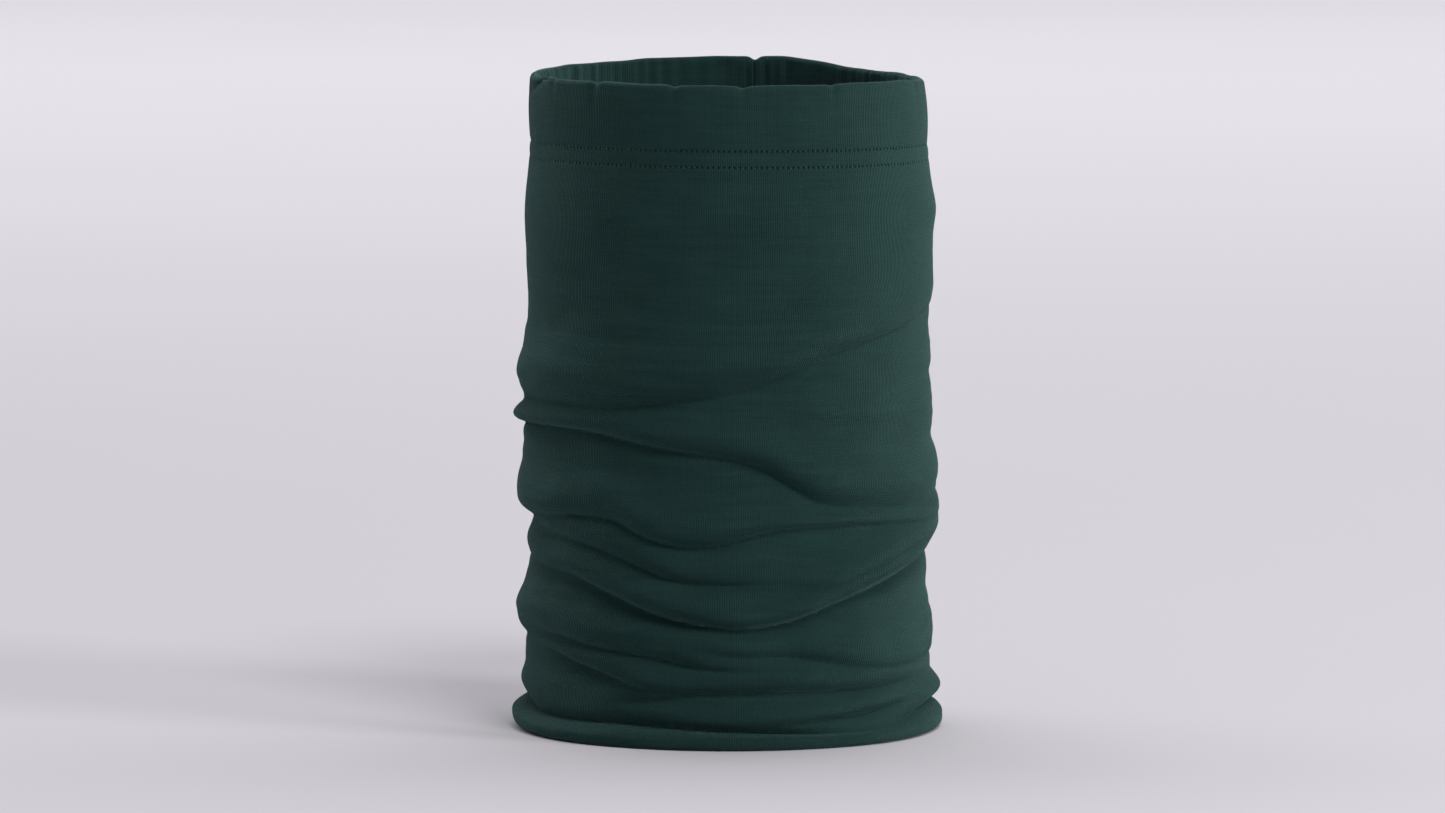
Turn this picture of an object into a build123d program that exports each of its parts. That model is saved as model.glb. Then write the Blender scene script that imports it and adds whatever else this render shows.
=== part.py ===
"""Knit neck gaiter: a jersey tube with an elasticated top hem, standing on its tucked-up lower edge.

Millimetres, +Z up. The origin is the centre of the footprint, on the surface that the tube stands on.
The wearer's front is -Y, and the back seam is near +Y.
"""

import os
from math import atan2, cos, degrees, pi

from build123d import *

# Driving dimensions
cut_girth = 500.0  # the tube measured flat is 250 wide
standing_height = 264.0
cloth = 0.7  # thickness of one ply of jersey
ply_gap = 0.05  # between two plies that lie on each other
body_gap = 0.3  # between the bunching wall and the hem that slides on it

# Top hem: an elastic casing closed by two rows of stitching
casing_depth = 28.5  # from the rim down to the upper row
row_gap = 6.4  # between the two rows, a quarter-inch twin needle
raw_edge = 2.6  # cloth left below the lower row
neck_radius = 75.0  # clear radius inside the gathered casing
step_depth = 3.6  # height over which the facing steps out to the stitched band

# Elastic: round the back only, from one side of the wearer's face to the other
elastic_width = 18.0
elastic_thickness = 1.3
elastic_arc = 190.0  # degrees

# Lower edge: the bottom of the tube is tucked up inside, with its own stitched hem
foot_radius = 86.2  # outside of the roll that the tube stands on
foot_flat = 4.2  # width of the ring that touches the floor
tuck_height = 36.0
tuck_radius = 76.6  # middle of the tucked ply
hem_width = 20.0

# Back seam and label
seam_turn = 8.0  # degrees from +Y towards +X, because the gaiter stands slightly turned
seam_width = 7.0
seam_thickness = 1.0  # both allowances together, pressed to one side
seam_standoff = 1.25  # from the middle of the wall to the middle of the allowances
label_width = 20.0
label_height = 34.0
label_thickness = 0.5

# Sewing thread
thread = 0.35
stitch_pitch = 2.1
stitches_per_bar = 3  # a row is built as bars, each as long as this many stitches
stitch_gap = 0.55

# Derived places
wall_radius = cut_girth / (2 * pi) - cloth  # middle of the wall's ply
outer_face = wall_radius + cloth / 2
rim_bend = (wall_radius - neck_radius - cloth / 2) / 2  # radius of the fold over the rim
rim_centre = standing_height - cloth / 2 - rim_bend
facing_radius = neck_radius + cloth / 2
pressed_radius = wall_radius - cloth - ply_gap  # facing where the stitches hold it to the outer ply
upper_row = standing_height - casing_depth
lower_row = upper_row - row_gap
hem_bottom = lower_row - raw_edge
bulge_bottom = upper_row + 1.5 + step_depth
tuck_bend = 2.6
tuck_start = cloth / 2 + tuck_bend
bar_pitch = stitch_pitch * stitches_per_bar

# The bunched wall, from the hem down: height, and how far the cloth stands out from wall_radius
folds = [
    (hem_bottom - body_gap, 0.0),
    (205, 2.6),
    (168, 0.5),
    (146, 4.2),
    (132, 0.7),
    (121, 3.7),
    (111, 0.5),
    (93, 4.0),
    (78, 0.8),
    (61, 4.4),
    (48, 0.9),
    (29, 4.0),
    (19, 1.4),
]


def ring(radius, low, high, width):
    """A closed cylindrical ply: a ring of rectangular section, with its middle at the given radius."""
    with BuildPart() as made:
        with BuildSketch(Plane.XZ):
            with Locations((radius, (low + high) / 2)):
                Rectangle(width, high - low)
        revolve(axis=Axis.Z)
    return made


def bar_count(radius):
    """How many bars of thread make a full row at that radius."""
    return round(2 * pi * radius / bar_pitch)


def stitch_row(radius, height):
    """Short bars of thread that lie round the tube, each on the face of the cloth at that radius."""
    with BuildPart() as made:
        with Locations((0, 0, height)):
            with PolarLocations(radius, bar_count(radius)):
                Box(thread, bar_pitch - stitch_gap, thread)
    return made


def cover_row(radius, height):
    """Slanted bars of the cover thread, which cross from one row of stitching to the other."""
    reach = row_gap + thread
    lean = degrees(bar_pitch / reach / 2)
    with BuildPart() as made:
        with Locations((0, 0, height)):
            with PolarLocations(radius, bar_count(radius)):
                Box(thread, thread, reach, rotation=(lean, 0, 0))
    return made


def wall_points(inward=0.0, lowest=0.0):
    """The folds as points of the profile, moved inward, down to a height."""
    return [(wall_radius + out - inward, z) for z, out in folds if z > lowest]


def save(made, name):
    made.part.label = name
    export_step(made.part, f"parts/{name}.step")


os.makedirs("parts", exist_ok=True)

# ---- the wall and the tucked lower edge ----

# Wall: one ply that bunches in soft rolls and turns under at the floor.
foot_out = foot_radius - cloth / 2
flat_end = tuck_radius + tuck_bend
with BuildPart() as tube_wall:
    with BuildSketch(Plane.XZ):
        with BuildLine():
            bunched = Spline(*wall_points(), tangents=[(0, -1), (0.15, -1)])
            roll = Spline(
                bunched @ 1,
                (foot_out, 6.4),
                (flat_end + foot_flat, cloth / 2),
                tangents=[(0.15, -1), (-1, 0)],
            )
            rest = Line(roll @ 1, (flat_end, cloth / 2))
            JernArc(rest @ 1, (-1, 0), tuck_bend, -90)
        trace(line_width=cloth)
    revolve(axis=Axis.Z)

# Tucked ply: the lower end of the same cloth, turned up inside, folded back on itself at its top.
allowance_radius = tuck_radius + cloth + ply_gap + 0.1
fold_centre = (tuck_radius + allowance_radius) / 2
fold_radius = (allowance_radius - tuck_radius) / 2
fold_height = tuck_height - cloth / 2 - fold_radius
with BuildPart() as bottom_turn_up:
    with BuildSketch(Plane.XZ):
        with BuildLine():
            Line((tuck_radius, tuck_start), (tuck_radius, fold_height))
            CenterArc((fold_centre, fold_height), fold_radius, 180, -180)
        trace(line_width=cloth)
    revolve(axis=Axis.Z)

hem_low = tuck_height - hem_width
bottom_hem_allowance = ring(allowance_radius, hem_low, fold_height, cloth)

# Threads of the lower hem: the needle rows show on the inside, the cover thread is hidden behind.
tuck_inside = tuck_radius - cloth / 2 - thread / 2 - 0.08
tuck_outside = allowance_radius + cloth / 2 + thread / 2 + 0.02
bottom_lower = hem_low + raw_edge
bottom_upper = bottom_lower + row_gap
bottom_needle_thread_upper = stitch_row(tuck_inside, bottom_upper)
bottom_needle_thread_lower = stitch_row(tuck_inside, bottom_lower)
bottom_looper_thread = cover_row(tuck_outside, (bottom_lower + bottom_upper) / 2)

# ---- the back seam and the label ----

# Seam allowances: both edges of the cloth, pressed to one side inside the wall, above the tuck.
seam_plane = Plane.YZ.rotated((0, 0, -seam_turn))
seam_arc = degrees(seam_width / wall_radius)
seam_line_points = wall_points(seam_standoff, tuck_height)
seam_end = (seam_line_points[-1][0] + 1.2, tuck_height + 4)
with BuildPart() as back_seam_allowance:
    with BuildSketch(seam_plane):
        with BuildLine() as seam_line:
            Spline(*seam_line_points, seam_end, tangents=[(0, -1), (0.2, -1)])
        trace(line_width=seam_thickness)
    revolve(axis=Axis.Z, revolution_arc=seam_arc)

# Overlock: one bar across the allowances for each stitch, lying on their inner face.
seam_edge = seam_line.edges()[0]
overlock_count = round(seam_edge.length / (1.5 * stitch_pitch))
middle_angle = 90 - seam_turn + seam_arc / 2
bar_standoff = seam_thickness / 2 + thread / 2 + 0.14
bar_places = []
for i in range(overlock_count):
    at = (i + 0.5) / overlock_count
    place = seam_edge @ at
    along = seam_edge % at
    slope = atan2(abs(along.X), abs(along.Y))
    inner = place.X - bar_standoff / cos(slope)
    turned = Plane.XY.offset(place.Y).rotated((0, 0, middle_angle))
    bar_places.append(turned.location * Location((inner, 0, 0)))
with BuildPart() as back_seam_overlock_thread:
    with Locations(*bar_places):
        Box(thread, seam_width, thread)

# Label: a blank folded loop whose edge is caught in the back seam.
label_low = tuck_height + 8
label_arc = degrees(label_width / tuck_radius)
with BuildPart() as care_label:
    with BuildSketch(seam_plane):
        with Locations((tuck_radius - 0.2, label_low + label_height / 2)):
            Rectangle(label_thickness, label_height)
    revolve(axis=Axis.Z, revolution_arc=-label_arc)

# ---- the top hem ----

# Outer ply of the hem, with the fold over the rim.
with BuildPart() as top_hem_outer:
    with BuildSketch(Plane.XZ):
        with BuildLine():
            Line((wall_radius, hem_bottom), (wall_radius, rim_centre))
            CenterArc(((wall_radius + facing_radius) / 2, rim_centre), rim_bend, 0, 180)
        trace(line_width=cloth)
    revolve(axis=Axis.Z)

# Facing: the cloth turned in, which stands off round the elastic and is held flat by the stitching.
with BuildPart() as top_hem_facing:
    with BuildSketch(Plane.XZ):
        with BuildLine():
            Line((facing_radius, rim_centre), (facing_radius, bulge_bottom))
            Spline(
                (facing_radius, bulge_bottom),
                (pressed_radius, bulge_bottom - step_depth),
                tangents=[(0, -1), (0, -1)],
            )
            Line((pressed_radius, bulge_bottom - step_depth), (pressed_radius, hem_bottom))
        trace(line_width=cloth)
    revolve(axis=Axis.Z)

# Elastic: a flat band in the casing, round the back only.
elastic_radius = facing_radius + cloth / 2 + 0.35 + elastic_thickness / 2
elastic_low = bulge_bottom + 0.8
elastic_start = 90 - elastic_arc / 2
with BuildPart() as elastic_band:
    with BuildSketch(Plane.XZ.rotated((0, 0, elastic_start))):
        with Locations((elastic_radius, elastic_low + elastic_width / 2)):
            Rectangle(elastic_thickness, elastic_width)
    revolve(axis=Axis.Z, revolution_arc=elastic_arc)

# Tacks: a column of short stitches that holds each end of the elastic.
tack_rows = 9
tack_inset = degrees(4.0 / elastic_radius)
tack_face = elastic_radius + elastic_thickness / 2 + thread / 2 + 0.02
tack_places = []
for angle in (elastic_start + tack_inset, elastic_start + elastic_arc - tack_inset):
    for row in range(tack_rows):
        height = elastic_low + (row + 0.5) * elastic_width / tack_rows
        turned = Plane.XY.offset(height).rotated((0, 0, angle))
        tack_places.append(turned.location * Location((tack_face, 0, 0)))
with BuildPart() as elastic_end_tacks:
    with Locations(*tack_places):
        Box(thread, 3.0, thread)

# Threads of the top hem: two needle rows outside, and the cover thread across them inside.
hem_outside = outer_face + thread / 2 + 0.02
hem_inside = pressed_radius - cloth / 2 - thread / 2 - 0.02
top_needle_thread_upper = stitch_row(hem_outside, upper_row)
top_needle_thread_lower = stitch_row(hem_outside, lower_row)
top_looper_thread = cover_row(hem_inside, (upper_row + lower_row) / 2)

for name, made in {
    "tube_wall": tube_wall,
    "bottom_turn_up": bottom_turn_up,
    "bottom_hem_allowance": bottom_hem_allowance,
    "bottom_needle_thread_upper": bottom_needle_thread_upper,
    "bottom_needle_thread_lower": bottom_needle_thread_lower,
    "bottom_looper_thread": bottom_looper_thread,
    "back_seam_allowance": back_seam_allowance,
    "back_seam_overlock_thread": back_seam_overlock_thread,
    "care_label": care_label,
    "top_hem_outer": top_hem_outer,
    "top_hem_facing": top_hem_facing,
    "elastic_band": elastic_band,
    "elastic_end_tacks": elastic_end_tacks,
    "top_needle_thread_upper": top_needle_thread_upper,
    "top_needle_thread_lower": top_needle_thread_lower,
    "top_looper_thread": top_looper_thread,
}.items():
    save(made, name)
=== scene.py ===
"""Knit neck gaiter, standing bunched on a pale floor.

Lengths in the shaping code are millimetres and become metres when a mesh is made. Angles run round the
tube in degrees: 0 is the wearer's front (-Y), 90 is +X and 180 is the back.
"""

from math import atan2, cos, degrees, pi, radians, sin

import bmesh
import bpy
import numpy as np
from mathutils import Matrix, Vector, noise


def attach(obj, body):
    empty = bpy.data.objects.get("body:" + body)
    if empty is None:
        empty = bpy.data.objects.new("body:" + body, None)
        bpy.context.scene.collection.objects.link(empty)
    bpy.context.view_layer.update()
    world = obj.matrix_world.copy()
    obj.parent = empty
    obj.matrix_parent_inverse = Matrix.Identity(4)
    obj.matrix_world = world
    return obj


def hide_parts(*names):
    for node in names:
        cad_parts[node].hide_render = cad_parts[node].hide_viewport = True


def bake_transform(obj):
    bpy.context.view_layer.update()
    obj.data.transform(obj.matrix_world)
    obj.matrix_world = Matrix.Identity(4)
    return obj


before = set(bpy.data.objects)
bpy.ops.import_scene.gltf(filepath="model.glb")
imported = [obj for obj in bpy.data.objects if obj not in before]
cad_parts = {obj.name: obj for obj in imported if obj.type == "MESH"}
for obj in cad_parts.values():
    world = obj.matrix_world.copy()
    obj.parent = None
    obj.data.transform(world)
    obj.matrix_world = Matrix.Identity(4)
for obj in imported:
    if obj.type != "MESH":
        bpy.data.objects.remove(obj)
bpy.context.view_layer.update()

MM = 0.001

# ---- sizes of the cut cloth and its sewing ----

GIRTH = 500.0
CLOTH = 0.6
TUBE_RADIUS = 79.2
FACING_RADIUS = 75.5
PRESSED_RADIUS = 78.3
ROW_GAP = 6.4
WALL_TOP = ROW_GAP + 1.5  # the wall's piece starts this far under the upper row
STITCH_COUNT = 237
STITCH_PITCH = 2.1
THREAD = 0.34
NEEDLE_STITCH = 1.7  # length of thread that shows between two needle holes
COVER_LEAN = degrees(atan2(ROW_GAP, STITCH_PITCH / 2))  # slant of the looper thread between the rows
WALE_PITCH = GIRTH / 568
COURSE_PITCH = 0.72
SEAM_ANGLE = 172.0
ELASTIC_HALF_ARC = 95.0
TUCK_RADIUS = 76.6  # middle of the ply that is turned up inside the foot
TUCK_HEM_GAP = 0.86  # from that ply to its hem, folded back behind it
TUCK_ROWS = (("upper", 25.4), ("lower", 19.0))  # heights of the lower hem's stitch rows

# Height of the rim and of the upper stitch row round the tube.
RIM_HEIGHT = [
    (-180, 265.6), (-160, 265.0), (-140, 263.8), (-120, 263.4), (-90, 262.0), (-60, 261.6), (-43, 261.5),
    (0, 260.4), (40, 260.9), (62, 261.0), (90, 259.6), (115, 260.4), (140, 261.4), (153, 264.2), (162, 265.6),
    (180, 265.6),
]
UPPER_ROW = [(-180, 237.4), (-90, 236.0), (0, 235.2), (90, 234.4), (180, 237.4)]

# Radius of the smooth tube by height, before any fold.
TUBE_PROFILE = [
    (0, 79.8), (30, 79.6), (60, 79.4), (90, 79.6), (120, 79.7), (150, 80.0), (175, 80.3), (192, 80.9),
    (208, 81.9), (220, 80.6), (229, 79.5), (236, 79.2), (264, 79.0),
]

# Each fold is a swag of cloth that hangs over a crease. A point on it gives the angle, the height of the
# crease, how far the cloth stands out above it, and how far above the crease it stands out most.
FOLDS = {
    "upper_swag": [
        (-178, 127, 0, 11), (-150, 129, 2.2, 12), (-110, 130.6, 4.4, 12), (-90, 131.4, 5.0, 12),
        (-74, 133.6, 5.0, 12), (-55, 133.6, 4.6, 12),
        (-31, 133.4, 4.2, 12), (-15, 136.5, 3.8, 12), (-2, 139.1, 3.4, 12), (10, 143.7, 3.2, 12),
        (27, 153.2, 3.0, 12), (47, 160, 2.5, 11), (70, 167, 1.7, 10), (100, 172, 0.8, 9), (130, 175, 0, 9),
    ],
    "back_upper_swag": [
        (100, 150, 0, 10), (125, 147, 2.6, 11), (150, 143, 4.0, 11), (180, 141, 4.2, 11), (205, 144, 3.2, 10),
        (235, 150, 0, 10),
    ],
    "left_roll": [
        (-170, 116, 0, 6), (-140, 119, 2.6, 5), (-110, 121.5, 4.2, 5), (-90, 122.8, 4.6, 4.5),
        (-60, 124, 3.6, 5),
        (-43, 123.4, 3.2, 6), (-28, 120, 3.2, 7), (-15, 117, 2.8, 8), (2, 113.7, 2.6, 8), (10, 110.6, 2.6, 8),
        (14, 106.5, 3.0, 8), (22, 100, 3.2, 9), (29, 95.4, 3.4, 10), (42, 93.6, 3.3, 11), (58, 92.5, 3.2, 12),
        (70, 93.5, 3.0, 13), (90, 96, 2.9, 13), (120, 103, 3.4, 9), (150, 109, 2.6, 9), (180, 112, 0, 9),
    ],
    "middle_roll": [
        (-150, 92, 0, 7), (-120, 87, 3.0, 8), (-90, 85.4, 3.9, 8), (-75, 87, 3.8, 8), (-49, 90.6, 3.4, 7),
        (-33, 89.6, 3.2, 8), (-26, 83.5, 3.4, 8), (-15, 79.4, 3.4, 8), (-7, 79.4, 3.2, 8), (2, 82, 3.0, 7),
        (10, 85.2, 2.4, 5), (18, 86.8, 1.8, 4), (36, 87, 1.6, 3.5), (62, 86, 1.5, 3.5), (78, 86.5, 1.2, 4),
        (95, 88, 0, 4),
    ],
    "left_slant": [
        (-82, 84, 0, 7), (-66, 82.5, 1.6, 6), (-50, 80, 2.6, 7), (-37, 76.4, 3.0, 8), (-28, 72.2, 3.2, 8),
        (-19, 67.2, 3.2, 8), (-10, 65, 3.0, 8), (5, 65, 2.2, 8), (20, 66, 0, 8),
    ],
    "right_dip": [
        (-10, 54, 0, 8), (5, 55.4, 1.8, 7), (30, 63.4, 3.0, 9), (58, 76.4, 2.2, 7), (76, 82, 0.8, 5),
        (90, 84, 0, 5),
    ],
    "deep_smile": [
        (-130, 72, 0, 6), (-100, 70.5, 1.0, 7), (-79, 68.8, 2.0, 7), (-49, 65.4, 3.0, 7), (-33, 58.1, 3.8, 8),
        (-23, 52.9, 4.2, 8), (-13, 49.6, 4.4, 8), (-2, 47.6, 4.4, 7), (5, 47.2, 4.2, 6), (14, 49, 3.8, 6),
        (22, 51.4, 3.8, 6), (31, 55.6, 4.0, 7), (47, 61, 4.6, 9), (62, 67, 4.6, 11), (78, 71.6, 4.8, 12),
        (95, 74, 4.8, 12), (120, 74, 4.2, 10), (150, 75, 2.6, 9), (175, 78, 0, 9),
    ],
    "back_middle_swag": [
        (160, 62, 0, 9), (180, 58, 3.0, 9), (200, 56, 4.0, 9), (225, 58, 3.6, 9), (245, 62, 0, 9),
    ],
    "lower_left_swag": [
        (-160, 34, 0, 11), (-125, 35.0, 3.0, 13), (-90, 37.5, 3.6, 12), (-68, 41.6, 4.0, 10),
        (-55, 41.0, 4.0, 9),
        (-43, 38.6, 3.8, 8), (-28, 36.6, 3.4, 8), (-17, 34.6, 3.0, 8), (-8, 32, 2.8, 8), (4, 31.2, 2.0, 8),
        (16, 31, 0, 8),
    ],
    "lower_left_tuck": [
        (-84, 36, 0, 5), (-60, 34.2, 1.8, 5), (-49, 30.8, 2.6, 5), (-37, 27.5, 2.8, 6), (-27, 24, 2.2, 6),
        (-14, 23, 0, 6),
    ],
    "lower_right_swag": [
        (-12, 40, 0, 6), (-4, 38.4, 1.8, 6), (4, 37, 2.4, 6), (18, 37, 2.8, 7), (27, 34.3, 3.0, 8),
        (36, 31.4, 3.2, 9), (47, 29.7, 3.0, 9), (62, 29.6, 2.6, 9), (90, 31, 2.2, 9), (125, 34, 2.8, 9),
        (160, 38, 2.2, 9), (185, 40, 0, 9),
    ],
    "ankle_roll": [
        (-40, 17, 0, 7), (-26, 18.6, 2.2, 8), (-10, 21.3, 3.2, 8), (14, 22.2, 3.4, 8), (42, 21.6, 3.2, 7),
        (60, 22.6, 2.4, 6), (80, 23.4, 1.4, 6), (100, 24, 1.4, 6), (140, 22, 2.6, 8), (180, 20, 3.6, 9),
        (215, 19, 3.0, 9), (245, 20, 0, 9),
    ],
    "right_foot_wrinkle": [
        (8, 10, 0, 4), (18, 10.4, 1.4, 4.5), (30, 11.0, 2.4, 5), (44, 12.2, 2.6, 5), (54, 14.4, 2.0, 4.5),
        (66, 16.4, 0, 4),
    ],
    "foot_crease": [
        (-180, 7.6, 1.6, 6), (-160, 9.4, 2.4, 7), (-140, 8.0, 1.4, 6), (-118, 11.0, 2.0, 7),
        (-95, 12.8, 1.3, 6), (-85, 12.2, 1.2, 6), (-77, 10.2, 1.2, 6),
        (-66, 8.6, 1.2, 6), (-48, 8.4, 1.7, 5), (-33, 9.0, 2.2, 6), (-19, 8.0, 2.7, 7), (-7, 7.0, 3.1, 7),
        (10, 6.0, 3.4, 7), (18, 5.6, 2.8, 7), (28, 5.4, 1.2, 7), (40, 5.6, 0.3, 6), (50, 6.6, 0.6, 6),
        (60, 8.4, 2.0, 6), (74, 10.8, 3.2, 6), (90, 12.2, 3.4, 6), (110, 9.6, 2.2, 7),
        (134, 11, 3.0, 7), (158, 8.2, 1.4, 6), (180, 7.6, 1.6, 6),
    ],
}

# The roll that the tube stands on: angle, how far out its belly is, and the belly's height.
FOOT_ROLL = [
    (-180, 83.8, 4.2), (-160, 85.8, 5.0), (-135, 83.8, 4.4), (-112, 86.2, 6.4), (-90, 87.4, 7.0),
    (-70, 86.8, 4.4), (-40, 86.6, 3.4), (0, 86.2, 3.1), (28, 86.8, 3.0), (50, 87.0, 3.2),
    (70, 85.8, 4.4), (90, 85.6, 6.2), (112, 84.2, 5.2), (135, 86.4, 4.6), (158, 84.2, 3.8),
    (180, 83.8, 4.2),
]

# Where each side of the tube stands fuller than its profile: angle, height, half-height and how much.
FULLNESS = [
    (40, 2, 9, 5.0),
    (-90, 20, 8, 2.2), (-90, 35, 8, 3.4), (-90, 50, 8, 1.9), (-90, 106, 12, 3.2), (-90, 124, 9, 4.0),
    (90, 17, 5, 2.4), (90, 72, 6, 1.6), (90, 96, 7, 2.0), (90, 128, 6, 1.6), (90, 150, 9, 1.0),
    (90, 211, 9, 1.4),
]

# Shallow dents that are no crease: angle, height, half-width in degrees, half-height, depth, and slope.
DENTS = [
    (10, 195, 20, 3.0, 0.55, 0.0),
    (-30, 178, 40, 9.0, 0.5, 0.25),
    (48, 181, 22, 8.0, 0.6, -0.3),
    (-62, 161, 26, 8.0, 0.6, 0.2),
    (25, 124, 22, 6.0, 1.0, -0.25),
    (55, 117, 30, 7.0, 1.2, 0.1),
    (-35, 108, 26, 5.0, 0.8, -0.2),
    (150, 190, 34, 9.0, 0.7, 0.3),
    (-140, 176, 30, 9.0, 0.8, -0.2),
    (-150, 100, 24, 8.0, 1.2, 0.1),
    (120, 130, 24, 7.0, 1.0, 0.2),
]


# ---- shape of the cloth ----


def round_curve(points, column, angles, soften=3.0):
    """One column of a list of points, as a smooth curve round the tube, read at the angles."""
    dense = np.arange(-180.0, 180.0, 0.5)
    first, last = points[0][0], points[-1][0]
    where = np.array([p[0] for p in points], float)
    value = np.array([p[column] for p in points], float)
    turned = dense.copy()
    turned[turned < first] += 360.0
    turned[turned > last] = np.where(turned[turned > last] - last < 180, last, first)
    level = np.interp(turned, where, value)
    reach = np.arange(-30, 31) * 0.5
    weight = np.exp(-0.5 * (reach / soften) ** 2)
    padded = np.concatenate([level[-30:], level, level[:30]])
    level = np.convolve(padded, weight / weight.sum(), "valid")
    return np.interp(np.asarray(angles, float), dense, level, period=360)


def turn_from(angles, at):
    """The signed turn from one angle to the others, the shorter way round, in degrees."""
    return (angles - at + 180) % 360 - 180


def smooth_profile(heights):
    """Radius of the smooth tube at the heights."""
    where = [p[0] for p in TUBE_PROFILE]
    value = [p[1] for p in TUBE_PROFILE]
    dense = np.arange(-20.0, 290.0, 1.0)
    level = np.interp(dense, where, value)
    kernel = np.exp(-0.5 * (np.arange(-12, 13) / 5.0) ** 2)
    level = np.convolve(np.pad(level, 12, "edge"), kernel / kernel.sum(), "valid")
    return np.interp(heights, dense, level)


def ripple(angles, heights, across, along, seed):
    """Soft uneven noise on the cloth, from -1 to 1, with a length round the tube and one up it."""
    out = np.empty(np.broadcast(angles, heights).shape)
    a, h = np.broadcast_arrays(np.radians(angles), heights)
    ring = TUBE_RADIUS / across
    for i in np.ndindex(out.shape):
        spot = Vector((cos(a[i]) * ring + seed, sin(a[i]) * ring, h[i] / along))
        out[i] = noise.noise(spot)
    return out


def crumple(angles, heights):
    """Small loose wrinkles between the folds, which dip towards the front as the folds do."""
    swag = heights + 11.0 * np.cos(np.radians(angles + 4))
    loose = np.clip((205 - heights) / 60, 0.12, 1) * np.clip((heights - 8) / 10, 0, 1)
    calm = np.clip((228 - heights) / 20, 0, 1)
    long_wrinkles = ripple(angles, swag, 46, 8.0, 3.0) * 0.95 + ripple(angles, swag, 30, 4.2, 11.0) * 0.42
    short_wrinkles = ripple(angles, heights, 16, 11, 8.0) * 0.3
    return (long_wrinkles * loose + short_wrinkles * (0.35 + 0.65 * loose)) * calm


def fold_offset(angles, heights):
    """How far the folds push the cloth out, and how far they let it droop, in millimetres."""
    out = np.zeros(np.broadcast(angles, heights).shape)
    droop = np.zeros_like(out)
    from_front = np.abs((angles + 180) % 360 - 180)
    deeper = 1 + 0.4 * np.exp(-((from_front / 52.0) ** 2)) + 0.4 * np.exp(-(((180 - from_front) / 48.0) ** 2))
    for points in FOLDS.values():
        crease = round_curve(points, 1, angles)
        rise = round_curve(points, 2, angles)
        width = round_curve(points, 3, angles)
        above = heights - crease
        x = np.clip(above / width, 0, 6)
        swell = x * np.exp((1 - x * x) / 2)
        below = np.exp(-np.abs(above) / np.where(above < 0, 0.9 * width, 0.33 * width))
        out += (rise * swell - 0.5 * rise * below) * deeper
        droop += rise * swell * (0.2 * np.exp(-x * 0.35))
    for angle, height, half_width, half_height, depth, slope in DENTS:
        turn = turn_from(angles, angle)
        level = heights - height - slope * turn
        out -= depth * np.exp(-((turn / half_width) ** 2) - (level / half_height) ** 2)
    return out, droop


def seam_groove(angles):
    """The cloth dips into the line of the back seam and puckers beside it."""
    turn = turn_from(angles, SEAM_ANGLE)
    side = turn * radians(1) * TUBE_RADIUS
    return -0.75 * np.exp(-((side / 0.8) ** 2)) + 0.22 * np.exp(-(((side - 3.2) / 2.4) ** 2))


def wall_surface(angles, heights):
    """Radius and height of the middle of the wall's cloth for each angle and each height on the tube."""
    out, droop = fold_offset(angles, heights)
    quiet = np.clip((228.0 - heights) / 26.0, 0, 1)
    quiet = quiet * quiet * (3 - 2 * quiet)
    for angle, height, spread, more in FULLNESS:
        turn = turn_from(angles, angle)
        out += more * np.exp(-((turn / 30.0) ** 2) - ((heights - height) / spread) ** 2)
    radius = smooth_profile(heights) + out * quiet + seam_groove(angles)
    return radius, heights - droop * quiet


def gather(angles, strength=1.0):
    """Fine upright gathers where the elastic draws the cloth in, round the back."""
    away = np.abs((angles + 360.0) % 360.0 - 180.0)
    held = np.clip((ELASTIC_HALF_ARC + 12 - away) / 20.0, 0, 1)
    turn = np.radians(angles)
    uneven = 0.62 + 0.38 * np.sin(turn * 7 + 0.8) * np.sin(turn * 4 + 2.0)
    wide = np.sin(turn * 57 + 5.5 * np.sin(turn * 5 + 0.5))
    narrow = np.sin(turn * 91 + 4.0 * np.sin(turn * 8 + 1.0))
    wave = 0.58 * wide + 0.5 * narrow
    return strength * (held * uneven * wave + (1 - held) * 0.12 * np.sin(turn * 23 + 1.0))


# ---- making meshes ----


def place(angles, radius, height):
    """Points in metres from angles round the tube, radii and heights."""
    a = np.radians(angles)
    return np.stack([radius * np.sin(a), -radius * np.cos(a), height + 0 * radius], -1) * MM


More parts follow.
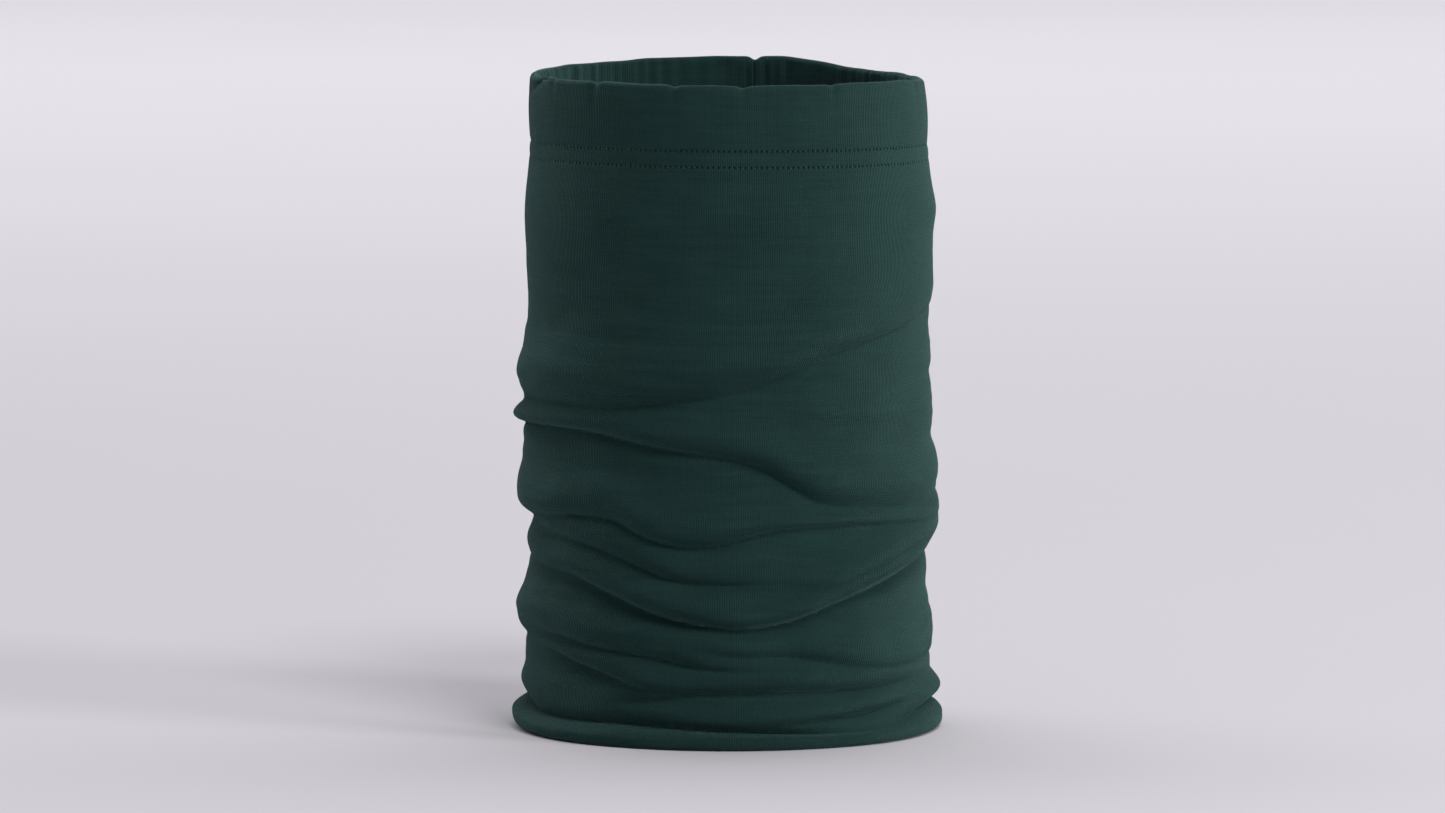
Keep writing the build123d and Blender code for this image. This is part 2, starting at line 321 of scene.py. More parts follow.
def cloth_grid(name, points, u, v, closed_round=True, thickness=CLOTH, flip=False, sewing=None):
    """A sheet from rows of points. u and v are the cloth's own coordinates in metres, for its knit.

    sewing, where it is given, holds the stitch count round the tube and the height over the upper row.
    """
    rows, columns = points.shape[:2]
    mesh = bpy.data.meshes.new(name)
    faces = []
    steps = columns if closed_round else columns - 1
    for r in range(rows - 1):
        for c in range(steps):
            n = (c + 1) % columns
            face = (r * columns + c, (r + 1) * columns + c, (r + 1) * columns + n, r * columns + n)
            faces.append(face[::-1] if flip else face)
    mesh.from_pydata(points.reshape(-1, 3).tolist(), [], faces)
    layer = mesh.uv_layers.new(name="knit")
    row_of = np.arange(rows * columns) // columns
    column_of = np.arange(rows * columns) % columns
    loops = np.empty(len(mesh.loops), int)
    mesh.loops.foreach_get("vertex_index", loops)
    uu = np.asarray(u, float)[column_of[loops]]
    vv = np.asarray(v, float).reshape(rows, -1)
    vv = (vv if vv.shape[1] > 1 else np.repeat(vv, columns, 1))[row_of[loops], column_of[loops]]
    if closed_round:
        first = loops.reshape(-1, 4)
        wraps = (column_of[first].max(1) == columns - 1) & (column_of[first].min(1) == 0)
        whole = u[1] - u[0]
        uu = uu.reshape(-1, 4)
        uu[wraps] = np.where(uu[wraps] < uu[wraps].max(1, keepdims=True) / 2, u[-1] + whole, uu[wraps])
        uu = uu.reshape(-1)
    layer.data.foreach_set("uv", np.stack([uu, vv], -1).reshape(-1))
    if sewing is not None:
        count, over = sewing
        turn = uu / (GIRTH * MM) * count
        level = over.reshape(rows, columns)[row_of[loops], column_of[loops]]
        mesh.uv_layers.new(name="sewing").data.foreach_set("uv", np.stack([turn, level], -1).reshape(-1))
    mesh.validate()
    piece = bpy.data.objects.new(name, mesh)
    bpy.context.collection.objects.link(piece)
    mesh.polygons.foreach_set("use_smooth", [True] * len(mesh.polygons))
    thicken(piece, thickness)
    return piece


def only(piece):
    """Select this piece and nothing else."""
    bpy.ops.object.select_all(action="DESELECT")
    piece.select_set(True)
    bpy.context.view_layer.objects.active = piece


def thicken(piece, thickness):
    """Give a sheet its thickness, half to each side, and smooth it except at its edges."""
    only(piece)
    shell = piece.modifiers.new("ply", "SOLIDIFY")
    shell.thickness = thickness * MM
    shell.offset = 0
    shell.use_even_offset = False
    bpy.ops.object.modifier_apply(modifier=shell.name)
    bpy.ops.object.shade_smooth_by_angle(angle=radians(65))


def cloth_lengths(points):
    """Length of cloth from the first row to each row, down every column, in metres."""
    steps = np.linalg.norm(np.diff(points, axis=0), axis=2)
    return np.concatenate([np.zeros((1, points.shape[1])), np.cumsum(steps, 0)])


def ring_angles(count):
    """Even angles all round the tube."""
    return np.arange(count) * 360.0 / count - 180.0


def hermite(p0, p1, t0, t1, x):
    """A smooth curve from p0 to p1 that starts with slope t0 and ends with slope t1."""
    h00, h10 = 2 * x**3 - 3 * x**2 + 1, x**3 - 2 * x**2 + x
    h01, h11 = -2 * x**3 + 3 * x**2, x**3 - x**2
    return h00 * p0 + h10 * t0 + h01 * p1 + h11 * t1


# ---- the pieces of cloth ----


def upper_row(angles):
    """Height of the top hem's upper stitch row."""
    return round_curve(UPPER_ROW, 1, angles, 8)


def rim_height(angles):
    """Height of the fold over the rim."""
    return round_curve(RIM_HEIGHT, 1, angles, 4)


def hem_radius(heights):
    """Radius of the top hem's outer ply, before its gathers and folds."""
    return np.interp(heights, [228, 236, 264], [79.35, TUBE_RADIUS - 0.1, TUBE_RADIUS])


def make_wall():
    """The outer ply, from the lower stitch row down over the folds to the roll on the floor."""
    columns, wall_rows, roll_rows = 204, 212, 18
    beside_seam = SEAM_ANGLE + np.array([-1.5, -0.9, -0.5, -0.2, 0.15, 0.5, 0.9, 1.5])
    angles = np.sort(np.concatenate([ring_angles(columns), beside_seam]))
    top = upper_row(angles) - WALL_TOP
    low = round_curve(FOLDS["foot_crease"], 1, angles) - 0.2
    share = np.linspace(0, 1, wall_rows)[:, None]
    heights = top[None, :] * (1 - share) + low[None, :] * share
    radius, lowered = wall_surface(angles[None, :], heights)
    radius += crumple(angles[None, :], heights)
    rows = [place(angles, radius[i], lowered[i]) for i in range(wall_rows)]
    # The roll: out over the foot, round to the floor and in under it.
    r0, z0 = radius[-1], lowered[-1]
    swell = round_curve(FOOT_ROLL, 1, angles, 6) + 0.25 * np.sin(np.radians(angles) * 7 + 2)
    belly = round_curve(FOOT_ROLL, 2, angles, 6)
    half = roll_rows // 2
    # Where no crease sets the roll off from the wall, the one runs smoothly on into the other.
    creased = np.clip(round_curve(FOLDS["foot_crease"], 2, angles) / 2.4, 0, 1)
    for i in range(1, half + 1):
        x = i / half
        outward = hermite(r0, swell, 2 + 5 * creased, 0, x)
        downward = hermite(z0, belly, 3.6 * creased - 4.0, -6.0, x)
        rows.append(place(angles, outward, downward))
    for i in range(1, half + 1):
        x = i / half
        rows.append(place(angles, hermite(swell, 79.4, 0, -22.0, x), hermite(belly, 0.36, -9.0, 0, x)))
    points = np.array(rows)
    length = cloth_lengths(points)
    u = (angles + 180.0) / 360.0 * GIRTH * MM
    piece = cloth_grid("jersey_wall", points, u, 0.3 - length, flip=False)
    return piece, float(length[-1].mean())


def make_hem():
    """The casing: up the outer ply, over the rim and down the facing to its raw edge."""
    columns = 960
    angles = ring_angles(columns)
    row = upper_row(angles)
    rim = rim_height(angles)
    rim = rim + 0.35 * ripple(angles, 0 * angles, 14, 9, 21.0)
    puckers = np.zeros_like(angles)
    for at, deep in ((-61, 0.5), (-42, 1.1), (-16, 0.9), (4, 0.9), (31, 0.5), (70, 0.5), (172, 1.5)):
        puckers += deep * np.exp(-((turn_from(angles, at) / 1.5) ** 2))
    rim = rim - puckers
    gathers = gather(angles)
    lean = 1.3 * np.exp(-((turn_from(angles, 92) / 34.0) ** 2))
    rows, over = [], []
    outer_rows, rim_rows, facing_rows = 18, 9, 16
    bend = 1.75
    top = rim - bend
    low = row - WALL_TOP

    def corner_fold(height):
        """The rim's right corner, as worn, is folded in along a slanting line."""
        down = np.maximum(rim - height, 0)
        turn = (angles + 69 + 2.3 * down + 180) % 360 - 180
        return 2.4 * np.exp(-((turn / 2.6) ** 2) - (down / 4.5) ** 2)

    for i in range(outer_rows):
        x = i / (outer_rows - 1)
        height = low + (top - low) * x
        fade = np.clip((height - low) / 7.0, 0, 1)
        belly = 0.55 * np.sin(pi * np.clip((height - row) / (top - row), 0, 1))
        stitched = -0.35 * np.exp(-(((height - row) / 0.9) ** 2))
        stitched = stitched - 0.3 * np.exp(-(((height - row + ROW_GAP) / 0.9) ** 2)) * np.clip(fade * 4, 0, 1)
        base = hem_radius(height)
        first = wall_surface(angles, low)[0]
        base = first + (base + belly - first) * fade + stitched
        pinch = 0.7 * puckers * np.exp(-np.maximum(rim - height, 0) / 6.0)
        radius = base + 0.3 * gathers * fade - lean * x * x - corner_fold(height) - pinch
        radius = radius + seam_groove(angles) * fade * (height < row + 20)
        rows.append(place(angles, radius, height))
        over.append(height - row)
    tucked = corner_fold(rim)
    edge = TUBE_RADIUS + 0.3 * gathers - lean - tucked - 0.7 * puckers
    inner = FACING_RADIUS + 0.42 * gathers - lean - 0.6 * tucked - 0.4 * puckers
    middle, spread = (edge + inner) / 2, (edge - inner) / 2
    for i in range(1, rim_rows + 1):
        a = pi * i / (rim_rows + 1)
        rows.append(place(angles, middle + spread * cos(a), top + bend * sin(a)))
        over.append(40 + 0 * angles)
    bottom = row - ROW_GAP - 2.6
    step_top, step_low = row + 5.0, row + 1.2
    for i in range(facing_rows):
        x = i / (facing_rows - 1)
        height = top + (bottom - top) * x
        blend = np.clip((step_top - height) / (step_top - step_low), 0, 1)
        blend = blend * blend * (3 - 2 * blend)
        pressed = PRESSED_RADIUS + 0.16 * gathers - 0.12
        loose = inner + 0.4 * ripple(angles, height, 7, 16, 31.0) - 0.5 * seam_groove(angles)
        rows.append(place(angles, loose * (1 - blend) + pressed * blend, height))
        over.append(40 + 0 * angles)
    points = np.array(rows)
    length = cloth_lengths(points)
    u = (angles + 180.0) / 360.0 * GIRTH * MM
    piece = cloth_grid(
        "jersey_top_hem", points, u, 0.3 + length, flip=True,
        sewing=(STITCH_COUNT, np.array(over) * MM),
    )
    return piece, float(length[-1].mean())


def make_tuck():
    """The lower edge, turned up inside the foot, with its own hem folded back behind it."""
    columns = 360
    angles = ring_angles(columns)
    edge = 35.2 + 0.7 * np.sin(np.radians(angles) * 5) + 0.4 * np.sin(np.radians(angles) * 11 + 1)
    inner = TUCK_RADIUS + 0.12 * np.sin(np.radians(angles) * 9)
    behind = inner + TUCK_HEM_GAP
    rows = []
    for i in range(7):
        a = pi / 2 * i / 6
        rows.append(place(angles, 79.3 - (79.3 - inner) * sin(a), 0.36 + 2.7 * (1 - cos(a))))
    for i in range(1, 15):
        rows.append(place(angles, inner, 3.06 + (edge - 3.06) * i / 14))
    for i in range(1, 6):
        a = pi * i / 6
        rows.append(place(angles, (inner + behind) / 2 - (behind - inner) / 2 * cos(a), edge + 0.43 * sin(a)))
    for i in range(0, 8):
        rows.append(place(angles, behind, edge + (16.4 - edge) * i / 7))
    points = np.array(rows)
    length = cloth_lengths(points)
    u = (angles + 180.0) / 360.0 * GIRTH * MM
    piece = cloth_grid("jersey_bottom_turn_up", points, u, length, flip=False, thickness=0.5)
    return piece, float(length[-1].mean())


def make_seam_allowance():
    """Both edges of the back seam, pressed to one side inside the wall."""
    across, rows_down = 9, 150
    width = 7.0
    angles = SEAM_ANGLE + np.linspace(0, width, across) / (radians(1) * TUBE_RADIUS)
    heights = np.linspace(226.0, 41.0, rows_down)[:, None]
    radius, lowered = wall_surface(angles[None, :], heights)
    curl = np.linspace(0, 1, across)[None, :]
    wave = 0.18 * np.sin(heights / 4.1) * curl
    radius = radius - 1.15 - 0.25 * curl**2 + wave
    points = place(angles, radius, lowered)
    length = cloth_lengths(points)
    u = np.linspace(0, width, across) * MM
    return cloth_grid("back_seam_plies", points, u, length, closed_round=False, thickness=0.95)


def make_label():
    """A blank folded tape, with its ends caught in the back seam and its loop hanging free."""
    across, down = 12, 24
    width, height = 19.5, 33.0
    angles = SEAM_ANGLE - 0.3 - np.linspace(0, width, across) / (radians(1) * 76.4)
    share = np.linspace(0, 1, across)
    heights = np.linspace(77.5, 77.5 - height, down)[:, None]
    lift = 0.12 * np.sin(share * pi)[None, :] * np.cos((heights - 60) / 9.0)
    points = place(angles, 76.35 + lift, heights)
    length = cloth_lengths(points)
    return cloth_grid(
        "blank_care_label", points, share * width * MM, length, closed_round=False, thickness=0.36, flip=True
    )


def make_elastic():
    """The flat elastic in the casing, drawn into the same fine gathers as the cloth round it."""
    columns, rows_up = 420, 10
    angles = 180.0 + np.linspace(-ELASTIC_HALF_ARC, ELASTIC_HALF_ARC, columns)
    low = 242.3
    heights = np.linspace(low, low + 17.0, rows_up)[:, None]
    radius = 77.1 + 0.42 * gather(angles)[None, :] + 0 * heights
    points = place(angles[None, :], radius, heights)
    u = np.linspace(0, 0.262, columns)
    v = np.linspace(0, 0.017, rows_up)
    return cloth_grid("casing_elastic", points, u, v, closed_round=False, thickness=1.1)


# ---- sewing ----


def make_stitch(name, length, thickness):
    """One stitch of thread along Y, round in section, with both its ends dipping into the cloth."""
    bpy.ops.object.select_all(action="DESELECT")
    bpy.ops.mesh.primitive_cylinder_add(
        vertices=7, radius=thickness / 2 * MM, depth=length * 0.5 * MM, rotation=(pi / 2, 0, 0)
    )
    stitch = bpy.context.active_object
    stitch.name = name
    bpy.ops.object.transform_apply(location=True, rotation=True, scale=True)
    bpy.ops.object.mode_set(mode="EDIT")
    for side in (-1, 1):
        for sink, step, shrink in ((0.05, 0.13, 0.86), (0.16, 0.1, 0.6)):
            edit = bmesh.from_edit_mesh(stitch.data)
            far = max(f.calc_center_median().y * side for f in edit.faces)
            for face in edit.faces:
                face.select = abs(face.normal.y) > 0.6 and face.calc_center_median().y * side > far - 1e-6
            edit.select_flush_mode()
            bmesh.update_edit_mesh(stitch.data)
            bpy.ops.mesh.extrude_region_move(
                TRANSFORM_OT_translate={"value": (-sink * thickness * 3 * MM, side * step * length * MM, 0)}
            )
            bpy.ops.transform.resize(value=(shrink, 1, shrink))
    bpy.ops.object.mode_set(mode="OBJECT")
    bpy.ops.object.shade_smooth()
    return stitch


def repeat(pattern, places, name):
    """Copies of one small piece, each in its own place, joined into a single row."""
    copies = []
    for spot in places:
        mesh = pattern.data.copy()
        mesh.transform(spot)
        copy = bpy.data.objects.new(name, mesh)
        bpy.context.collection.objects.link(copy)
        copies.append(copy)
    bpy.ops.object.select_all(action="DESELECT")
    for copy in copies:
        copy.select_set(True)
    bpy.context.view_layer.objects.active = copies[0]
    bpy.ops.object.join()
    row = bpy.context.active_object
    row.name = name
    row.data.name = name
    bpy.data.objects.remove(pattern)
    return row


def on_tube(angle, radius, height, inward=False, slant=0.0):
    """Where a stitch goes: its X faces away from the cloth, its Y runs round the tube."""
    turn = Matrix.Rotation(radians(angle - 90), 4, "Z")
    spot = Matrix.Translation(Vector((radius * MM, 0, height * MM)))
    face = Matrix.Rotation(pi if inward else 0, 4, "Z")
    return turn @ spot @ face @ Matrix.Rotation(radians(slant), 4, "X")


def row_angles(radius, pitch=STITCH_PITCH):
    """The angle of each stitch in a row round the tube at that radius."""
    count = round(2 * pi * radius / pitch)
    return [360.0 * i / count - 180.0 for i in range(count)]


def sew_top_hem():
    """Two rows of needle thread outside the casing, and the looper thread that covers them inside."""
    made = []
    around = ring_angles(STITCH_COUNT)
    upper = upper_row(around)
    for label, heights in (("upper", upper), ("lower", upper - ROW_GAP)):
        fade = (heights - upper + WALL_TOP) / 7.0
        first = wall_surface(around, upper - WALL_TOP)[0]
        base = hem_radius(heights)
        fade = np.clip(fade, 0, 1)
        radius = first + (base - first) * fade + 0.3 * gather(around) * fade - 0.02
        places = [on_tube(a, r, z) for a, r, z in zip(around, radius, heights)]
        stitch = make_stitch("needle_stitch", NEEDLE_STITCH, THREAD)
        made.append(repeat(stitch, places, f"top_needle_row_{label}"))
    places = []
    for i, (a, z) in enumerate(zip(around, upper - ROW_GAP / 2)):
        r = PRESSED_RADIUS + 0.16 * float(gather(a)) - 0.12 - 0.25 - THREAD / 2
        places.append(on_tube(a, r, z, True, COVER_LEAN if i % 2 else -COVER_LEAN))
    made.append(repeat(make_stitch("cover_stitch", ROW_GAP, THREAD), places, "top_looper_rows"))
    return made


def sew_bottom_hem():
    """The same sewing on the lower hem, with its needle threads towards the neck."""
    made = []
    around = row_angles(TUCK_RADIUS)
    for label, height in TUCK_ROWS:
        places = []
        for a in around:
            radius = TUCK_RADIUS - 0.3 - THREAD / 2 + 0.12 * sin(radians(a) * 9)
            places.append(on_tube(a, radius, height, True))
        stitch = make_stitch("needle_stitch", NEEDLE_STITCH, THREAD)
        made.append(repeat(stitch, places, f"bottom_needle_row_{label}"))
    behind = TUCK_RADIUS + TUCK_HEM_GAP + 0.28 + THREAD / 2
    between = (TUCK_ROWS[0][1] + TUCK_ROWS[1][1]) / 2
    places = []
    for i, a in enumerate(around):
        places.append(on_tube(a, behind, between, False, COVER_LEAN if i % 2 else -COVER_LEAN))
    made.append(repeat(make_stitch("cover_stitch", ROW_GAP, THREAD), places, "bottom_looper_rows"))
    return made


def sew_back_seam():
    """The overlock: threads across the allowances, slanting one way and the other in turn."""
    places = []
    middle = SEAM_ANGLE + 3.5 / (radians(1) * TUBE_RADIUS)
    for i, height in enumerate(np.arange(224.0, 42.5, -2.4)):
        radius, lowered = wall_surface(np.array([middle]), np.array([height]))
        places.append(on_tube(middle, radius[0] - 1.15 - 0.7, lowered[0], True, 12 if i % 2 else -12))
    return repeat(make_stitch("overlock_stitch", 6.6, THREAD), places, "back_seam_overlock")


# ---- materials ----


class Finish:
    """A node material under construction, with short ways to add its nodes."""

    def __init__(self, name):
        self.material = bpy.data.materials.new(name)
        self.material.use_nodes = True
        self.tree = self.material.node_tree
        self.shader = self.tree.nodes["Principled BSDF"]

    def node(self, kind, **settings):
        made = self.tree.nodes.new(kind)
        for key, value in settings.items():
            setattr(made, key, value)
        return made

    def link(self, source, target):
        self.tree.links.new(source, target)

    def math(self, operation, a, b=None, clamp=False):
        made = self.node("ShaderNodeMath", operation=operation, use_clamp=clamp)
        for socket, value in zip(made.inputs, (a, b)):
            if value is None:
                continue
            if isinstance(value, (int, float)):
                socket.default_value = value
            else:
                self.link(value, socket)
        return made.outputs[0]

    def noise(self, vector, scale, detail=2.0, rough=0.5):
        made = self.node("ShaderNodeTexNoise")
        made.inputs["Scale"].default_value = scale
        made.inputs["Detail"].default_value = detail
        made.inputs["Roughness"].default_value = rough
        self.link(vector, made.inputs["Vector"])
        return made.outputs["Fac"]

    def stretch(self, vector, scale):
        made = self.node("ShaderNodeMapping")
        made.inputs["Scale"].default_value = scale
        self.link(vector, made.inputs["Vector"])
        return made.outputs["Vector"]

    def mix_colour(self, factor, low, high):
        made = self.node("ShaderNodeMix", data_type="RGBA")
        self.link(factor, made.inputs["Factor"])
        for socket, value in ((made.inputs[6], low), (made.inputs[7], high)):
            if isinstance(value, tuple):
                socket.default_value = (*value, 1)
            else:
                self.link(value, socket)
        return made.outputs[2]

    def bump(self, height, distance, strength=1.0, below=None):
        made = self.node("ShaderNodeBump")
        made.inputs["Distance"].default_value = distance
        made.inputs["Strength"].default_value = strength
        self.link(height, made.inputs["Height"])
        if below is not None:
            self.link(below, made.inputs["Normal"])
        return made.outputs["Normal"]

    def surface(
        self, colour, roughness, normal, sheen=0.0, sheen_rough=0.4, sheen_tint=(1, 1, 1), specular=0.3
    ):
        self.link(colour, self.shader.inputs["Base Color"])
        if isinstance(roughness, (int, float)):
            self.shader.inputs["Roughness"].default_value = roughness
        else:
            self.link(roughness, self.shader.inputs["Roughness"])
        if normal is not None:
            self.link(normal, self.shader.inputs["Normal"])
        self.shader.inputs["Sheen Weight"].default_value = sheen
        self.shader.inputs["Sheen Roughness"].default_value = sheen_rough
        self.shader.inputs["Sheen Tint"].default_value = (*sheen_tint, 1)
        self.shader.inputs["Specular IOR Level"].default_value = specular
        return self.material


# Painted shade: a near-black green painted into the needle holes and along the back seam's join, where shade
# falls.
PAINTED_SHADE_COLOUR = (0.0015, 0.004, 0.004)


def needle_holes(f):
    """1 in each hole that the twin needle leaves, between one stitch and the next, and 0 away from them;
    where it is 1, painted shade fills the hole.
    """
    sewing = f.node("ShaderNodeUVMap", uv_map="sewing").outputs["UV"]
    split = f.node("ShaderNodeSeparateXYZ")
    f.link(sewing, split.inputs[0])
    along = f.math("SUBTRACT", f.math("FRACT", split.outputs[0]), 0.5)
    along = f.math("MULTIPLY", along, STITCH_PITCH / 0.5)
    along = f.math("POWER", f.math("ABSOLUTE", along), 2.0)
    holes = None
    for row in (0.0, -ROW_GAP):
        off = f.math("DIVIDE", f.math("SUBTRACT", split.outputs[1], row * MM), 0.46 * MM)
        off = f.math("POWER", f.math("ABSOLUTE", off), 2.0)
        hole = f.math("EXPONENT", f.math("MULTIPLY", f.math("ADD", along, off), -1.0))
        holes = hole if holes is None else f.math("ADD", holes, hole)
    return f.math("MULTIPLY", holes, 1.0, True)


def seam_join_shade(f, u):
    """A dark line painted where the cloth's two edges meet in the back seam, as painted shade for the shadow
    in the join.
    """
    at = (SEAM_ANGLE + 180.0) / 360.0 * GIRTH * MM
    off = f.math("POWER", f.math("ABSOLUTE", f.math("DIVIDE", f.math("SUBTRACT", u, at), 0.45 * MM)), 2.0)
    return f.math("MULTIPLY", f.math("EXPONENT", f.math("MULTIPLY", off, -1.0)), 0.75)


def jersey(name, dark, light, stitched=False):
    """Fine knit: upright wales of small V stitches, uneven yarn and a soft brushed face."""
    f = Finish(name)
    uv = f.node("ShaderNodeUVMap", uv_map="knit").outputs["UV"]
    split = f.node("ShaderNodeSeparateXYZ")
    f.link(uv, split.inputs[0])
    u, v = split.outputs[0], split.outputs[1]
    drift = f.noise(f.stretch(uv, (90, 22, 1)), 1.0, 2.0)
    wander = f.math("MULTIPLY", f.math("SUBTRACT", drift, 0.5), 0.00035)
    wale = f.math("FRACT", f.math("DIVIDE", f.math("ADD", u, wander), WALE_PITCH * MM))
    from_middle = f.math("MULTIPLY", f.math("ABSOLUTE", f.math("SUBTRACT", wale, 0.5)), 2.0)
    vee = f.math("MULTIPLY", from_middle, 0.55)
    course = f.math("FRACT", f.math("SUBTRACT", f.math("DIVIDE", v, COURSE_PITCH * MM), vee))
    from_leg = f.math("SUBTRACT", f.math("MULTIPLY", course, 2.0), 1.0)
    leg = f.math("SUBTRACT", 1.0, f.math("ABSOLUTE", from_leg))
    column = f.math("SUBTRACT", 1.0, f.math("POWER", from_middle, 2.4))
    column = f.math("MULTIPLY", column, f.math("ADD", 0.72, f.math("MULTIPLY", from_middle, 0.5)))
    height = f.math("ADD", f.math("MULTIPLY", column, 0.7), f.math("MULTIPLY", leg, 0.3))
    slub = f.noise(f.stretch(uv, (70, 1150, 1)), 1.0, 3.0, 0.6)
    long_slub = f.noise(f.stretch(uv, (26, 420, 1)), 1.0, 2.0)
    fuzz = f.noise(f.stretch(uv, (2600, 2600, 1)), 1.0, 3.0, 0.7)
    patch = f.noise(f.stretch(uv, (45, 45, 1)), 1.0, 3.0, 0.6)
    tone = f.math("ADD", f.math("MULTIPLY", height, 0.7), f.math("MULTIPLY", slub, 0.26))
    tone = f.math("ADD", tone, f.math("MULTIPLY", f.math("SUBTRACT", long_slub, 0.5), 0.35))
    tone = f.math("ADD", tone, f.math("MULTIPLY", f.math("SUBTRACT", fuzz, 0.5), 0.5))
    tone = f.math("ADD", tone, f.math("MULTIPLY", f.math("SUBTRACT", patch, 0.5), 0.3), True)
    colour = f.mix_colour(tone, dark, light)
    ends = f.bump(f.math("ADD", height, f.math("MULTIPLY", slub, 0.5)), 0.00036, 1.0)
    normal = f.bump(fuzz, 0.00009, 0.6, ends)
    if stitched:
        holes = needle_holes(f)
        # Painted shade: the needle holes are painted near black, and the bump below also dents them.
        colour = f.mix_colour(holes, colour, PAINTED_SHADE_COLOUR)
        normal = f.bump(f.math("SUBTRACT", 1.0, holes), 0.0006, 1.0, normal)
    # Painted shade: the back seam's join is painted dark on every jersey piece.
    colour = f.mix_colour(seam_join_shade(f, u), colour, PAINTED_SHADE_COLOUR)
    rough = f.math("ADD", 0.78, f.math("MULTIPLY", fuzz, 0.2))
    tint = (0.42, 0.86, 0.8)
    return f.surface(colour, rough, normal, sheen=0.32, sheen_rough=0.22, sheen_tint=tint, specular=0.1)


def thread_finish(name, dark, light):
    """Twisted sewing thread: fine slanting plies along it."""
    f = Finish(name)
    spot = f.node("ShaderNodeTexCoord").outputs["Object"]
    split = f.node("ShaderNodeSeparateXYZ")
    f.link(spot, split.inputs[0])
    slant = f.math("ADD", f.math("ADD", split.outputs[0], split.outputs[1]), split.outputs[2])
    plies = f.math("SINE", f.math("MULTIPLY", slant, 2 * pi / 0.00032))
    twist = f.math("ADD", f.math("MULTIPLY", plies, 0.5), 0.5)
    lint = f.noise(spot, 2400, 3.0, 0.7)
    tone = f.math("ADD", f.math("MULTIPLY", twist, 0.55), f.math("MULTIPLY", lint, 0.45))
    colour = f.mix_colour(tone, dark, light)
    normal = f.bump(twist, 0.00005, 0.8, f.bump(lint, 0.00003, 0.5))
    return f.surface(colour, 0.66, normal, sheen=0.08, sheen_tint=(0.4, 0.9, 0.84), specular=0.15)


def woven_elastic(name):
    """Ribbed woven elastic: cords run along it and fine picks cross them."""
    f = Finish(name)
    uv = f.node("ShaderNodeUVMap", uv_map="knit").outputs["UV"]
    split = f.node("ShaderNodeSeparateXYZ")
    f.link(uv, split.inputs[0])
    cords = f.math("SINE", f.math("MULTIPLY", split.outputs[1], 2 * pi / 0.0011))
    picks = f.math("SINE", f.math("MULTIPLY", split.outputs[0], 2 * pi / 0.0006))
    raised = f.math("ADD", f.math("MULTIPLY", picks, 0.15), 0.5)
    weave = f.math("ADD", f.math("MULTIPLY", cords, 0.35), raised)
    lint = f.noise(f.stretch(uv, (3000, 3000, 1)), 1.0, 2.0)
    tone = f.math("MULTIPLY", weave, lint)
    colour = f.mix_colour(tone, (0.004, 0.005, 0.005), (0.028, 0.032, 0.032))
    return f.surface(colour, 0.7, f.bump(weave, 0.0002, 0.8), sheen=0.15)


def satin_tape(name):
    """Narrow woven satin, dark and blank."""
    f = Finish(name)
    uv = f.node("ShaderNodeUVMap", uv_map="knit").outputs["UV"]
    split = f.node("ShaderNodeSeparateXYZ")
    f.link(uv, split.inputs[0])
    floats = f.math("SINE", f.math("MULTIPLY", split.outputs[1], 2 * pi / 0.00028))
    ends = f.math("SINE", f.math("MULTIPLY", split.outputs[0], 2 * pi / 0.00045))
    weave = f.math("ADD", 0.5, f.math("MULTIPLY", f.math("ADD", floats, ends), 0.25))
    mottle = f.noise(f.stretch(uv, (500, 500, 1)), 1.0, 3.0)
    tone = f.math("MULTIPLY", f.math("ADD", weave, mottle), 0.5)
    colour = f.mix_colour(tone, (0.004, 0.004, 0.005), (0.02, 0.021, 0.023))
    rough = f.math("ADD", 0.34, f.math("MULTIPLY", mottle, 0.2))
    return f.surface(colour, rough, f.bump(weave, 0.00003, 0.7), sheen=0.1, specular=0.5)


def plain_floor(name):
    """Matt pale floor with hardly any mottling."""
    f = Finish(name)
    spot = f.node("ShaderNodeTexCoord").outputs["Object"]
    tone = f.noise(spot, 1.2, 2.0)
    colour = f.mix_colour(tone, (0.59, 0.575, 0.61), (0.61, 0.595, 0.63))
    return f.surface(colour, 0.9, None, specular=0.1)


def finish_with(piece, material):
    """Give a piece its only material."""
    piece.data.materials.clear()
    piece.data.materials.append(material)


# ---- putting the gaiter together ----

wall, wall_length = make_wall()
hem, hem_length = make_hem()
tuck, tuck_length = make_tuck()
allowance = make_seam_allowance()
label = make_label()
elastic = make_elastic()
top_rows = sew_top_hem()
bottom_rows = sew_bottom_hem()
overlock = sew_back_seam()

DARK_GREEN, LIGHT_GREEN = (0.0021, 0.0108, 0.0102), (0.0182, 0.0542, 0.0500)
knit = jersey("bottle_green_jersey", DARK_GREEN, LIGHT_GREEN)
sewing_thread = thread_finish("spun_thread", (0.010, 0.036, 0.033), (0.042, 0.115, 0.105))
for piece in (wall, tuck, allowance):
    finish_with(piece, knit)
finish_with(hem, jersey("stitched_green_jersey", DARK_GREEN, LIGHT_GREEN, stitched=True))
for piece in (*top_rows, *bottom_rows, overlock):
    finish_with(piece, sewing_thread)
finish_with(elastic, woven_elastic("woven_elastic"))
finish_with(label, satin_tape("satin_tape"))
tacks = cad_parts["elastic_end_tacks"]
tacks.data.materials.clear()
tacks.data.materials.append(sewing_thread)

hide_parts("tube_wall")
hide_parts("top_hem_outer", "top_hem_facing")
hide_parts("bottom_turn_up", "bottom_hem_allowance")
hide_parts("back_seam_allowance")
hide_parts("back_seam_overlock_thread")
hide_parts("care_label")
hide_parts("elastic_band")
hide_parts("top_needle_thread_upper")
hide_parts("top_needle_thread_lower")
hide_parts("top_looper_thread")
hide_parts("bottom_needle_thread_upper")
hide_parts("bottom_needle_thread_lower")
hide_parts("bottom_looper_thread")

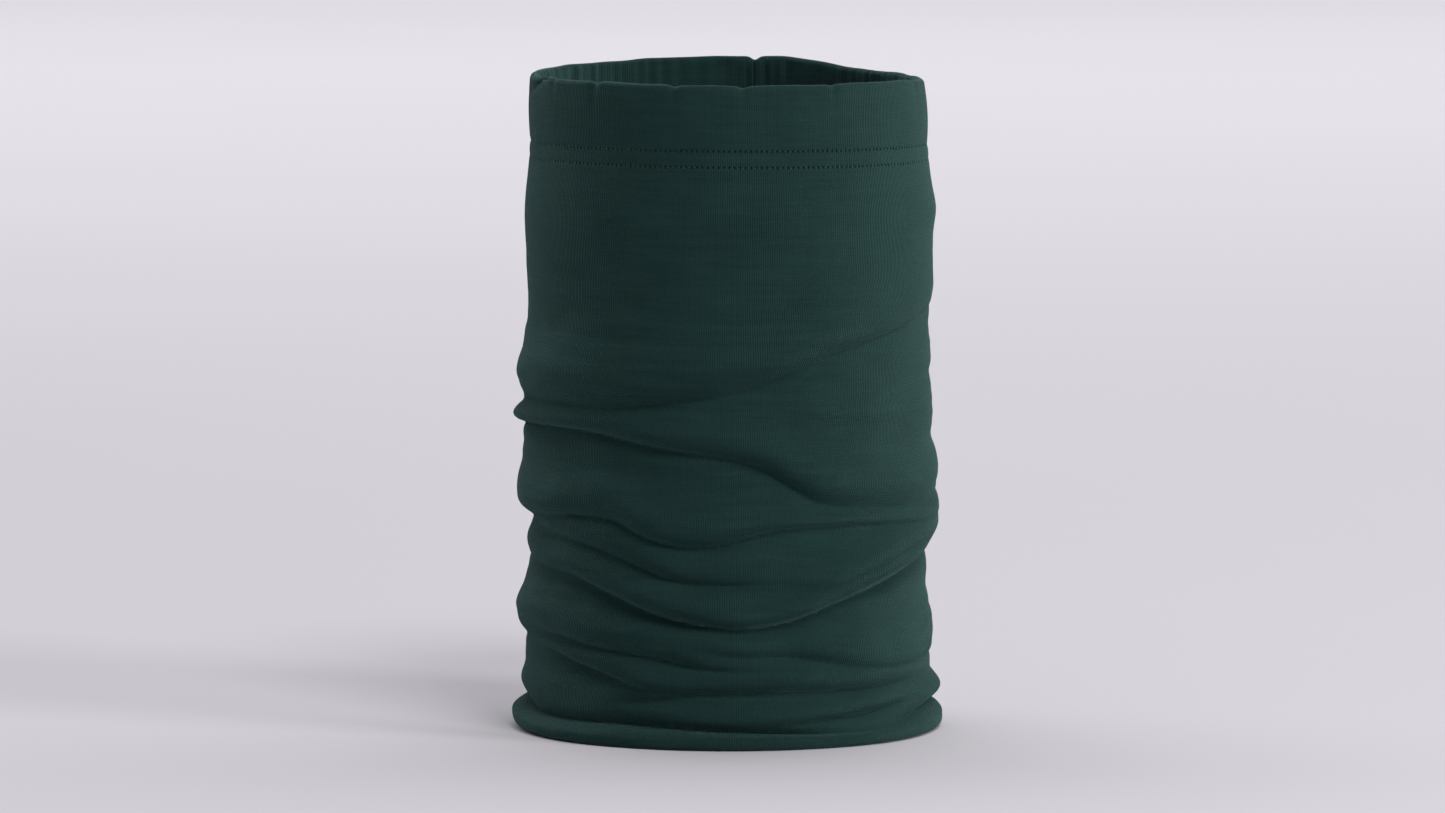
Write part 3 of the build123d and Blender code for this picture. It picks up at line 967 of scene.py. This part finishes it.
for piece in (wall, allowance, overlock):
    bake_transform(piece)
for piece in (hem, elastic, *top_rows):
    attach(piece, "top_hem")
for piece in (tuck, label, *bottom_rows):
    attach(piece, "lower_tube")


# ---- floor, light and camera ----


def add_floor():
    """A wide pale floor that runs far back behind the gaiter."""
    bpy.ops.object.select_all(action="DESELECT")
    bpy.ops.mesh.primitive_plane_add(size=60, location=(0, 20, 0))
    floor = bpy.context.active_object
    floor.name = "studio_floor"
    bpy.ops.object.transform_apply(location=True, rotation=True, scale=True)
    floor.data.materials.append(plain_floor("pale_floor"))


def add_softbox(name, place_at, aim, size, power, colour):
    """A rectangular lamp that faces the point it is aimed at."""
    lamp = bpy.data.lights.new(name, "AREA")
    lamp.shape = "RECTANGLE"
    lamp.size, lamp.size_y = size
    lamp.energy = power
    lamp.color = colour
    stand = bpy.data.objects.new(name, lamp)
    bpy.context.collection.objects.link(stand)
    stand.location = place_at
    stand.rotation_euler = (Vector(aim) - Vector(place_at)).to_track_quat("-Z", "Y").to_euler()


def add_camera():
    """A long lens, a little above the rim, that looks slightly down at the front."""
    tilt_down = 5.03
    lens = bpy.data.cameras.new("studio_camera")
    lens.sensor_width = 36.0
    lens.lens = 199.308
    lens.clip_end = 200
    camera = bpy.data.objects.new("studio_camera", lens)
    bpy.context.collection.objects.link(camera)
    camera.location = (-0.0026, -3.2, 0.41)
    camera.rotation_euler = (radians(90 - tilt_down), 0, 0)
    bpy.context.scene.camera = camera


add_floor()
add_softbox("key_softbox", (3.25, -1.75, 1.15), (0, 0, 0.12), (0.95, 0.9), 71, (1.0, 0.99, 0.98))
add_softbox("front_softbox", (0.75, -1.75, 2.35), (0, 0, 0.1), (1.0, 1.0), 33, (1.0, 1.0, 1.0))
add_softbox("back_softbox", (0, 5.8, 4.2), (0, 5.4, 0), (16, 9), 700, (0.99, 0.985, 1.0))
world = bpy.data.worlds.new("pale_room")
bpy.context.scene.world = world
world.use_nodes = True
world.node_tree.nodes["Background"].inputs["Color"].default_value = (0.97, 0.965, 1.0, 1)
world.node_tree.nodes["Background"].inputs["Strength"].default_value = 0.26
bpy.context.scene.view_settings.view_transform = "Standard"
add_camera()
